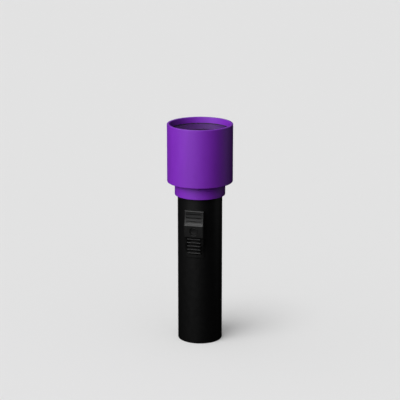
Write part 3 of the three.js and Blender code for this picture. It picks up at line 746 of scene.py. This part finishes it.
def bulb_wire():
    """Two leads and a coiled filament in one piece of wire, which thins to the coil."""
    lead_wire = 0.22
    lead_foot = 0.75  # half the distance between the leads' feet
    lead_head = 1.5  # and between their heads, where the coil starts
    lead_steps = 24
    coil_wire = 0.06
    coil_radius = 0.3
    coils = 9
    coil_steps = coils * 16
    bottom = low("bulb_filament")
    bend = FOCUS - 0.6
    path = []
    radii = []
    for i in range(lead_steps + 1):
        share = i / lead_steps
        x = -lead_foot - (lead_head - lead_foot) * smoothstep(share, 0.2, 0.9)
        path.append((x, 0, bottom + (bend - bottom) * share))
        radii.append(lead_wire)
    for i in range(coil_steps + 1):
        share = i / coil_steps
        angle = 2 * math.pi * coils * share
        x = -lead_head + 2 * lead_head * share
        path.append((x, coil_radius * math.sin(angle), FOCUS - coil_radius * math.cos(angle)))
        radii.append(coil_wire)
    for x, y, z in path[lead_steps::-1]:
        path.append((-x, y, z))
        radii.append(lead_wire)
    piece = sweep("bulb_wire", path, radii, 10)
    dress(piece, STEEL, "light_unit", "spring_steel", "bulb_filament")


def reflector_bowl():
    """Parabola about the filament, with a plain neck below and a flange above."""
    mouth = 23.7
    neck_inner = 5.9
    neck_outer = 7.3
    wall = 1.3
    flange_thickness = 1
    steps = 56
    skipped = 4  # of the curve's lowest steps, on the outside
    bottom, top = span("reflector")
    vertex = bottom + 2.6
    focal = mouth ** 2 / (4 * (top - vertex))
    flange_radius = outer_radius("reflector")
    flange_bottom = top - flange_thickness
    curve_bottom = vertex + neck_inner ** 2 / (4 * focal)
    heights = [curve_bottom + (top - curve_bottom) * (i / steps) ** 2 for i in range(steps + 1)]

    def radius(height):
        return math.sqrt(4 * focal * (height - vertex))

    outer = [(neck_outer, bottom), (neck_outer, curve_bottom - wall)]
    outer += [(radius(z) + wall, z) for z in heights[skipped:] if z < flange_bottom]
    outer += [(radius(flange_bottom) + wall, flange_bottom), (flange_radius, flange_bottom)]
    inner = [(radius(z), z) for z in reversed(heights)] + [(neck_inner, bottom)]
    outline = outer + [(flange_radius, top)] + inner
    piece = revolve("reflector_bowl", outline, 160, 35)
    dress(piece, MIRROR, "light_unit", "reflector_mirror", "reflector")


HOLDER_BORE = 5  # radius that the bulb's cap stands in


def bulb_holder():
    """White retainer that holds the bulb's flange."""
    socket = 7.6
    outer = outer_radius("bulb_retainer")
    bottom, top = span("bulb_retainer")
    floor_top = bottom + 1.4
    piece = revolve("bulb_holder", rounded([
        (HOLDER_BORE, bottom, 0.2), (outer, bottom, 0.4), (outer, top, 0.3), (socket, top, 0.3),
        (socket, floor_top, 0.2), (HOLDER_BORE, floor_top, 0.2),
    ]), 96)
    dress(piece, WHITE, "light_unit", "white_plastic", "bulb_retainer")


def head_contact_ring():
    outer = outer_radius("contact_ring")
    bottom, top = span("contact_ring")
    piece = revolve("head_contact_ring", rounded([
        (HOLDER_BORE, bottom, 0.1), (outer, bottom, 0.1), (outer, top, 0.1),
        (HOLDER_BORE, top, 0.1),
    ]), 128)
    dress(piece, BRASS, "light_unit", "brass", "contact_ring")


# ---------------- head
HEAD_SIDES = 192


def head():
    """Cup and collar in one moulding, with a ledge for the reflector and a thread inside."""
    cup_wall = 2.25
    collar = 22.07
    entry = 20.1
    entry_chamfer = 0.15
    bore = 19.7
    bulkhead = 2.8  # thickness of the floor between cup and collar
    ledge_width = 1.1
    ledge_thickness = 1.5
    ledge_slope = 1.1
    radius = outer_radius("head_shell")
    top = high("head_shell")
    cup = radius - cup_wall
    hole = BORE_RADIUS + 0.6
    ledge = cup - ledge_width
    ledge_top = high("reflector") - 1.3
    ledge_bottom = ledge_top - ledge_thickness
    floor_bottom = BARREL_MOUTH + GAP
    floor_top = floor_bottom + bulkhead
    shoulder = floor_bottom + 0.6
    piece = revolve("head_moulding", rounded([
        (entry, COLLAR_BOTTOM, 0.15), (collar, COLLAR_BOTTOM, 0.45), (collar, shoulder, 0.3),
        (radius, shoulder, 0.6), (radius, top, 0.55), (cup, top, 0.5),
        (cup, ledge_top, 0.2), (ledge, ledge_top, 0.2), (ledge, ledge_bottom, 0.2),
        (cup, ledge_bottom - ledge_slope, 0.3), (cup, floor_top, 0.5), (hole, floor_top, 0.2),
        (hole, floor_bottom, 0.2), (bore, floor_bottom, 0.2), (bore, NECK_BOTTOM, 0.1),
        (entry, NECK_BOTTOM - entry_chamfer, 0.1),
    ]), HEAD_SIDES)
    first_turn = -0.25
    start = THREAD_BOTTOM + THREAD_PITCH / 2
    turns = (floor_bottom - THREAD_MARGIN - start) / THREAD_PITCH - first_turn
    ridge = thread_ridge("ridge", bore + RIDGE_SINK, NECK_ROOT + GAP, start, first_turn, turns)
    combine(piece, ridge, "UNION")
    dress(piece, PURPLE, "head", "purple_plastic", "head_shell")


def window():
    bottom, top = span("lens")
    piece = disc("lens_disc", outer_radius("lens"), bottom, top, 0.3, 0.3, HEAD_SIDES)
    dress(piece, SMOKY, "head", "smoky_lens", "lens")


def gasket():
    """Rubber ring with an L-shaped section: a shelf under the lens and a wall round it."""
    wall = 0.5
    outer = outer_radius("lens_gasket")
    bottom, top = span("lens_gasket")
    shelf_inner = outer - 1.9
    shelf_top = bottom + 0.4
    piece = revolve("lens_seal", rounded([
        (shelf_inner, bottom, 0.1), (outer, bottom, 0.1), (outer, top, 0.2),
        (outer - wall, top, 0.2), (outer - wall, shelf_top, 0.1), (shelf_inner, shelf_top, 0.1),
    ], steps=3), HEAD_SIDES)
    dress(piece, RUBBER, "head", "rubber", "lens_gasket")


# ---------------- switch
SLIDER_HALF_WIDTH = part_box("thumb_slider")[1].x / MM
BORDER = 0.6  # radius of the slider's rounded border
UPPER_BEND = (5.2, 1.4)  # a ramp's control point: distance from the pad, height on the barrel
UPPER_END_HEIGHT = 0.9
LOWER_BEND = (3, 1.0)
LOWER_END_HEIGHT = 0.55
FLUSH_DROPS = (5, 16)  # drops below the pad between which the lower ramp turns flush
FLUSH_HEIGHT = 0.5  # what is left of it there, above the barrel

GROOVE_RISES = [3.6 + 3.15 * i for i in range(3)]  # above the pad
GROOVE_HALF_LENGTH = 6.7
GROOVE_DEPTH = 0.55
GROOVE_FOOT = -0.5  # the steep lower side, from the groove's middle
GROOVE_HEAD = 0.65  # where the sloping upper side meets the surface
GROOVE_WALL = 0.12  # height that the steep side takes up
GROOVE_EDGE = 0.25  # rounding at either end of a groove
GROOVE_FLOOR_HEIGHT = 0.4  # least height of a groove's floor on the barrel
PANEL = (1.5, 11.8)  # shallow panel that the grooves are cut in, as rises above the pad
PANEL_HALF_WIDTH = 7.1
PANEL_DEPTH = 0.14
PANEL_EDGE = 0.15

RIB_DROPS = [1.95 + 3.15 * i for i in range(5)]  # below the pad
RIB_HALF_LENGTH = 6
RIB_EDGE = 0.25
RIB_TOP = 2.6  # height of the first rib on the barrel, and each next one is lower
RIB_STEP = 0.22
RIB_CREST = 0.4  # rounded part above a rib's crest
RIB_ROUND = 0.5  # how far that part falls away
RIB_SLOPE = 2.5  # below its crest the rib falls away over this height
SCOOP = (0.6, 15.9)  # hollow that the ribs stand in, as drops below the pad
SCOOP_DEPTH = 1.4
SCOOP_HEAD = 0.4  # heights over which the hollow starts and ends
SCOOP_FOOT = 2
SCOOP_EDGE = 0.3


def bezier_height(start, control, end, place):
    """Height of a quadratic curve over a place between its ends. Points are (place, height)."""
    low_share = 0.0
    high_share = 1.0
    for _ in range(40):
        share = (low_share + high_share) / 2
        start_weight = (1 - share) ** 2
        control_weight = 2 * share * (1 - share)
        end_weight = share ** 2
        if start_weight * start[0] + control_weight * control[0] + end_weight * end[0] < place:
            low_share = share
        else:
            high_share = share
    return start_weight * start[1] + control_weight * control[1] + end_weight * end[1]


def ramp_distance(bend, end_height, length, place):
    """Distance from the axis of a ramp that falls from the pad, at a place along it."""
    control = (bend[0], BARREL_RADIUS + bend[1])
    end = (length, BARREL_RADIUS + end_height)
    return bezier_height((0, PAD_DISTANCE), control, end, place)


def slider_profile(height):
    """Distance from the axis of the slider's plain surface, at a height."""
    if height > PAD_TOP:
        return ramp_distance(UPPER_BEND, UPPER_END_HEIGHT, SLIDER_TOP - PAD_TOP, height - PAD_TOP)
    if height < PAD_BOTTOM:
        length = PAD_BOTTOM - SLIDER_BOTTOM
        return ramp_distance(LOWER_BEND, LOWER_END_HEIGHT, length, PAD_BOTTOM - height)
    return PAD_DISTANCE


def plateau(offset, half_width, edge):
    """1 within the half width of a middle, 0 beyond it, and rounded over the edge between."""
    return 1 - smoothstep(abs(offset), half_width - edge, half_width)


def groove_share(offset):
    """Share of a groove's depth at a height from its middle: steep below, and a slope above."""
    if offset < 0:
        return smoothstep(offset, GROOVE_FOOT, GROOVE_FOOT + GROOVE_WALL)
    return min(1, max(0, (GROOVE_HEAD - offset) / (GROOVE_HEAD + 0.1)))


def flush_distance(x):
    """Distance from the axis at which the slider is nearly flush with the barrel."""
    return math.sqrt((BARREL_RADIUS + FLUSH_HEIGHT) ** 2 - x ** 2)


def with_grooves(distance, x, rise):
    """The distance once the panel and the grooves are cut, at a rise above the pad."""
    middle = sum(PANEL) / 2
    panel = plateau(x, PANEL_HALF_WIDTH, PANEL_EDGE)
    panel *= plateau(rise - middle, PANEL[1] - middle, PANEL_EDGE)
    distance -= PANEL_DEPTH * panel
    for groove in GROOVE_RISES:
        depth = GROOVE_DEPTH * groove_share(rise - groove)
        depth *= plateau(x, GROOVE_HALF_LENGTH, GROOVE_EDGE)
        distance = max(distance - depth, min(distance, BARREL_RADIUS + GROOVE_FLOOR_HEIGHT))
    return distance


def with_scoop(distance, x, drop):
    """The distance once the ribs' hollow is cut, at a drop below the pad."""
    scoop = smoothstep(drop, SCOOP[0], SCOOP[0] + SCOOP_HEAD)
    scoop *= 1 - smoothstep(drop, SCOOP[1] - SCOOP_FOOT, SCOOP[1])
    scoop *= plateau(x, RIB_HALF_LENGTH + SCOOP_EDGE, SCOOP_EDGE)
    return max(distance - SCOOP_DEPTH * scoop, min(distance, flush_distance(x)))


def with_ribs(distance, x, drop):
    """The distance once the saw-toothed ribs are added, at a drop below the pad."""
    for i, rib in enumerate(RIB_DROPS):
        height = max(0, BARREL_RADIUS + RIB_TOP - RIB_STEP * i - distance)
        height *= plateau(x, RIB_HALF_LENGTH, RIB_EDGE)
        slope = RIB_SLOPE if rib < RIB_DROPS[-1] else RIB_SLOPE / 2
        offset = drop - rib
        if -RIB_CREST < offset <= 0:
            fall = RIB_ROUND * (1 - math.sqrt(1 - (offset / RIB_CREST) ** 2))
            return distance + max(0, height - fall)
        if 0 < offset < slope:
            return distance + height * (1 - offset / slope)
    return distance


def slider_distance(x, height):
    """Distance from the axis of the slider's surface, with its panel, grooves, scoop and ribs."""
    drop = PAD_BOTTOM - height
    distance = slider_profile(height)
    distance += (flush_distance(x) - distance) * smoothstep(drop, *FLUSH_DROPS)
    distance = with_grooves(distance, x, height - PAD_TOP)
    distance = with_scoop(distance, x, drop)
    return with_ribs(distance, x, drop)


def edge_lines(middle, half_width, edge):
    """Grid lines at both edges of a rib, groove or panel: over the rounding and just beyond it."""
    steps = 4
    lines = [half_width + 0.04]
    lines += [half_width - edge * i / steps for i in range(steps + 1)]
    return [middle + sign * line for line in lines for sign in (-1, 1)]


def spread(lines, lowest, highest, step):
    """Sorted grid lines with the gaps between them filled to at most a step."""
    closest = 0.02
    kept = [lowest]
    for line in sorted(lines):
        if line - kept[-1] > closest and highest - line > closest:
            kept.append(line)
    kept.append(highest)
    filled = []
    for a, b in zip(kept, kept[1:]):
        count = math.ceil((b - a) / step)
        filled += [a + (b - a) * i / count for i in range(count)]
    return filled + [highest]


def border_insets():
    """Distances in from the border of the grid lines that round it."""
    return [BORDER * (1 - math.sin(math.radians(a))) for a in (0, 18, 36, 54, 72, 90)]


def slider_columns():
    """Grid lines across the slider."""
    xs = edge_lines(0, RIB_HALF_LENGTH, RIB_EDGE)
    xs += edge_lines(0, RIB_HALF_LENGTH + SCOOP_EDGE, SCOOP_EDGE)
    xs += edge_lines(0, GROOVE_HALF_LENGTH, GROOVE_EDGE)
    xs += edge_lines(0, PANEL_HALF_WIDTH, PANEL_EDGE)
    xs += [sign * (SLIDER_HALF_WIDTH - inset) for inset in border_insets() for sign in (-1, 1)]
    return spread(xs, -SLIDER_HALF_WIDTH, SLIDER_HALF_WIDTH, 0.8)


def slider_rows():
    """Grid lines up the slider, close together where its surface bends."""
    zs = [SLIDER_BOTTOM + inset for inset in border_insets()]
    zs += [SLIDER_TOP - inset for inset in border_insets()]
    zs += [edge + offset for edge in (PAD_TOP, PAD_BOTTOM) for offset in (-0.1, 0, 0.1)]
    for rise in GROOVE_RISES:
        foot = PAD_TOP + rise + GROOVE_FOOT
        zs += [foot + offset for offset in (-0.05, 0, 0.03, 0.06, 0.09, 0.12, 0.17)]
        zs += [PAD_TOP + rise + offset for offset in (-0.1, 0, 0.3, 0.6, GROOVE_HEAD, 0.7)]
    for drop in RIB_DROPS:
        crest = PAD_BOTTOM - drop
        zs += [crest + RIB_CREST * share for share in (0, 0.3, 0.6, 0.8, 0.9, 0.97, 1.1)]
        zs += [crest - 0.03, crest - RIB_SLOPE]
    zs += edge_lines(PAD_TOP + sum(PANEL) / 2, (PANEL[1] - PANEL[0]) / 2, PANEL_EDGE)
    zs += [PAD_BOTTOM - SCOOP[0] - 0.1 * i for i in range(5)]
    return spread(zs, SLIDER_BOTTOM, SLIDER_TOP, 0.45)


def border_fall(inset):
    """How far the slider's surface falls at a distance in from its border."""
    if inset >= BORDER:
        return 0
    return BORDER - math.sqrt(max(0, BORDER ** 2 - (BORDER - inset) ** 2))


def slider_slab():
    """The worked surface outside, the barrel's round inside, and rounded borders between."""
    most_fall = 0.8  # share of the slab's thickness that its rounded border may take away
    xs = slider_columns()
    zs = slider_rows()
    inside = [-math.sqrt((BARREL_RADIUS + GAP) ** 2 - x ** 2) for x in xs]
    vertices = []
    for z in zs:
        end_fall = border_fall(min(z - SLIDER_BOTTOM, SLIDER_TOP - z))
        for x, y in zip(xs, inside):
            side_fall = border_fall(SLIDER_HALF_WIDTH - abs(x))
            distance = slider_distance(x, z)
            fall = min(side_fall + end_fall, most_fall * (distance + y))
            vertices.append((x, -(distance - fall), z))
    for z in zs:
        for x, y in zip(xs, inside):
            vertices.append((x, y, z))
    return make_object("slider_moulding", vertices, slab_faces(len(xs), len(zs)), 50)


def outward_cutter(name, outline, height, sides=96):
    """A solid of revolution about an axis that points out of the switch, at a height."""
    return turn_to_switch(revolve(name, outline, sides), height)


def cylinder_outline(radius, start, end):
    return [(0, start), (radius, start), (radius, end), (0, end)]


def cut_rivet_holes(piece, start, end):
    """Cuts both rivets' holes between two distances from the axis."""
    for height in RIVET_HEIGHTS:
        hole = outward_cutter("shank", cylinder_outline(RIVET_RADIUS, start, end), height, 32)
        combine(piece, hole, "DIFFERENCE")


def slider_boss():
    """Block under the slider that runs in the barrel's slot."""
    half_width = 2.5
    inner = BARREL_RADIUS - 1.2
    outer = BARREL_RADIUS + GAP + 0.4
    z_span = (BUTTON_HEIGHT - 14.75, BUTTON_HEIGHT - 4.95)
    boss = block("boss", (-half_width, half_width), (-outer, -inner), z_span)
    bevel(boss, 0.15)
    return boss


def button_hole():
    """Hole for the button through the pad, with a rounded edge."""
    radius = 3.5
    edge = 0.15
    angles = [math.radians(15 * i) for i in range(7)]
    outline = [(0, BARREL_RADIUS), (radius, BARREL_RADIUS)]
    for angle in angles:
        flare = radius + edge * (1 - math.cos(angle))
        outline.append((flare, PAD_DISTANCE - edge * (1 - math.sin(angle))))
    outline += [(radius + edge, PAD_DISTANCE + 1), (0, PAD_DISTANCE + 1)]
    return outward_cutter("hole", outline, BUTTON_HEIGHT)


def slider():
    """Thumb slider with its boss, and holes for the button and the rivets."""
    flange_pocket = 4.5
    pad_thickness = 1.2
    piece = slider_slab()
    combine(piece, slider_boss(), "UNION")
    pocket = cylinder_outline(flange_pocket, BARREL_RADIUS - 1, PAD_DISTANCE - pad_thickness)
    combine(piece, outward_cutter("pocket", pocket, BUTTON_HEIGHT), "DIFFERENCE")
    combine(piece, button_hole(), "DIFFERENCE")
    cut_rivet_holes(piece, BORE_RADIUS - 0.85, BORE_RADIUS + 2.4)
    shade(piece.data, 50)
    dress(piece, SWITCH_BLACK, "switch", "black_plastic", "thumb_slider")


def button():
    """Flash button: a stem, a flange under the pad and a shallow dish on top."""
    depth = 0.85  # from the pad down to the button's rim
    flange_depth = 1.5
    flange_thickness = 0.4
    flange_radius = 4.2
    stem = 1.8
    stem_chamfer = 0.2
    radius = 3.22
    rim = 2.95  # where the dish starts
    sag = 0.15
    dish_steps = 10
    top = PAD_DISTANCE - depth
    flange_outer = PAD_DISTANCE - flange_depth
    flange_inner = flange_outer - flange_thickness
    stem_end = -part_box("flash_button")[1].y / MM
    outline = [
        (0, stem_end), (stem - stem_chamfer, stem_end), (stem, stem_end + stem_chamfer),
        (stem, flange_inner), (flange_radius, flange_inner), (flange_radius, flange_outer),
        (radius, flange_outer), (radius, top - 0.2), (radius - 0.05, top - 0.06),
        (radius - 0.17, top),
    ]
    for i in range(dish_steps + 1):
        share = 1 - i / dish_steps
        outline.append((rim * share, top - sag * (1 - share ** 2)))
    piece = outward_cutter("button_moulding", outline, BUTTON_HEIGHT)
    dress(piece, SWITCH_BLACK, "button", "black_plastic", "flash_button")


CONTACT_INNER = BORE_RADIUS + 0.15  # distance of the slide contact from the axis


def switch_contact():
    """Brass plate that slides in the channel, held by two rivets."""
    half_width = 4
    outer = CONTACT_INNER + 0.4
    heights = span("slide_contact")
    piece = curved_plate("switch_contact_strip", CONTACT_INNER, outer, half_width, *heights)
    bevel(piece, 0.1)
    cut_rivet_holes(piece, CONTACT_INNER - 1, CONTACT_INNER + 2)
    dress(piece, BRASS, "switch", "brass", "slide_contact")


def rivets():
    head_radius = 1.5
    head_thickness = 0.35
    shank = 0.8
    head = CONTACT_INNER - GAP
    end = CONTACT_INNER + 2.0
    for name, height in zip(("upper", "lower"), RIVET_HEIGHTS):
        outline = rounded([
            (0, head - head_thickness), (head_radius, head - head_thickness, 0.25),
            (head_radius, head, 0.05), (shank, head, 0.05), (shank, end, 0.2), (0, end),
        ])
        rivet = outward_cutter("rivet_" + name, outline, height, 48)
        dress(rivet, BRASS, "switch", "brass", "slider_rivet_" + name)


barrel()
barrel_seal()
cell_spring()
contact_strips()
cell("rear_cell")
cell("front_cell")
bulb_shell()
bulb_solder_tip()
bulb_insulating_disc()
bulb_envelope()
bulb_wire()
reflector_bowl()
bulb_holder()
head_contact_ring()
head()
window()
gasket()
slider()
button()
switch_contact()
rivets()


# ---------------- floor, light and camera
def direction(azimuth, elevation):
    """Unit vector towards a place. Azimuth 0 is on the switch's side, -Y."""
    a = math.radians(azimuth)
    e = math.radians(elevation)
    return Vector((math.sin(a) * math.cos(e), -math.cos(a) * math.cos(e), math.sin(e)))


def collection_of(name, *objects):
    group = bpy.data.collections.new(name)
    for thing in objects:
        group.objects.link(thing)
    return group


def floor():
    """A wide pale plane that only the camera sees, so that it lights nothing."""
    size = 30
    mesh = bpy.data.meshes.new("floor")
    corners = [(-size, -size, 0), (size, -size, 0), (size, size, 0), (-size, size, 0)]
    mesh.from_pydata(corners, [], [(0, 1, 2, 3)])
    plane = add_object("floor", mesh)
    mesh.materials.append(Material("pale_paper", (0.8, 0.8, 0.8), 1.0, specular=0.0).data)
    plane.visible_diffuse = False
    plane.visible_glossy = False
    plane.visible_transmission = False
    plane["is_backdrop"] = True
    return plane


def sun(name, azimuth, elevation, strength, spread_angle):
    light = bpy.data.lights.new(name, "SUN")
    light.energy = strength
    light.angle = math.radians(spread_angle)
    thing = add_object(name, light)
    thing.rotation_euler = direction(azimuth, elevation).to_track_quat("Z", "Y").to_euler()
    return thing


def softbox(name, azimuth, elevation, distance, size, power):
    """Area light that looks at the torch. Width, height and distance in metres, power in watts."""
    aim = Vector((0, 0, 0.12))
    light = bpy.data.lights.new(name, "AREA")
    light.shape = "RECTANGLE"
    light.size, light.size_y = size
    light.energy = power
    thing = add_object(name, light)
    towards = direction(azimuth, elevation)
    thing.location = aim + towards * distance
    thing.rotation_euler = towards.to_track_quat("Z", "Y").to_euler()
    return thing


def light_floor(plane):
    """Suns that light only the floor: a wide one, one for the barrel's shadow, and a fill."""
    sky = sun("floor_sky", -25, 65, 1.38, 130)
    core = sun("floor_core", -25, 65, 1.57, 35)
    barrel_only = collection_of("core_blocker", bpy.data.objects["barrel_moulding"])
    core.light_linking.blocker_collection = barrel_only
    fill = sun("floor_fill", 0, 90, 0.32, 35)
    fill.data.use_shadow = False
    floor_only = collection_of("floor_only", plane)
    for light in (sky, core, fill):
        light.light_linking.receiver_collection = floor_only


def light_torch():
    """Softboxes that light only the torch. The low one behind leaves the head's rim out."""
    boxes = [
        softbox("key", -22, 31, 0.8, (0.8, 0.7), 6.6),
        softbox("key_left", -46, 27, 0.8, (0.35, 0.35), 1.6),
        softbox("side", 112, 10, 0.8, (0.5, 0.5), 0.45),
        softbox("back", 195, 62, 1.0, (0.9, 0.6), 3.0),
    ]
    object_only = collection_of("object_only", *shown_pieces())
    for light in boxes:
        light.light_linking.receiver_collection = object_only
    low_back = softbox("back_low", 195, 0, 1.0, (0.3, 0.3), 8.0)
    below_rim = [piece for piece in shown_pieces() if piece.name != "head_moulding"]
    low_back.light_linking.receiver_collection = collection_of("below_rim", *below_rim)


def backdrop():
    """Pale surroundings that only the camera sees."""
    pale = 0.745
    world = bpy.data.worlds.new("studio")
    bpy.context.scene.world = world
    world.use_nodes = True
    world.node_tree.nodes["Background"].inputs["Color"].default_value = (pale, pale, pale, 1)
    world.cycles_visibility.diffuse = False
    world.cycles_visibility.glossy = False
    world.cycles_visibility.transmission = False
    world.cycles_visibility.scatter = False
    bpy.context.scene.view_settings.view_transform = "Standard"


def camera():
    azimuth = 14.5
    tilt = 15.0944
    distance = 1.2753
    height = 0.470185
    data = bpy.data.cameras.new("camera")
    data.lens = 136.02
    data.sensor_width = 36
    thing = add_object("camera", data)
    thing.location = polar(distance, math.radians(azimuth), height)
    thing.rotation_euler = (-direction(azimuth, tilt)).to_track_quat("-Z", "Y").to_euler()
    bpy.context.scene.camera = thing


light_floor(floor())
light_torch()
backdrop()
camera()
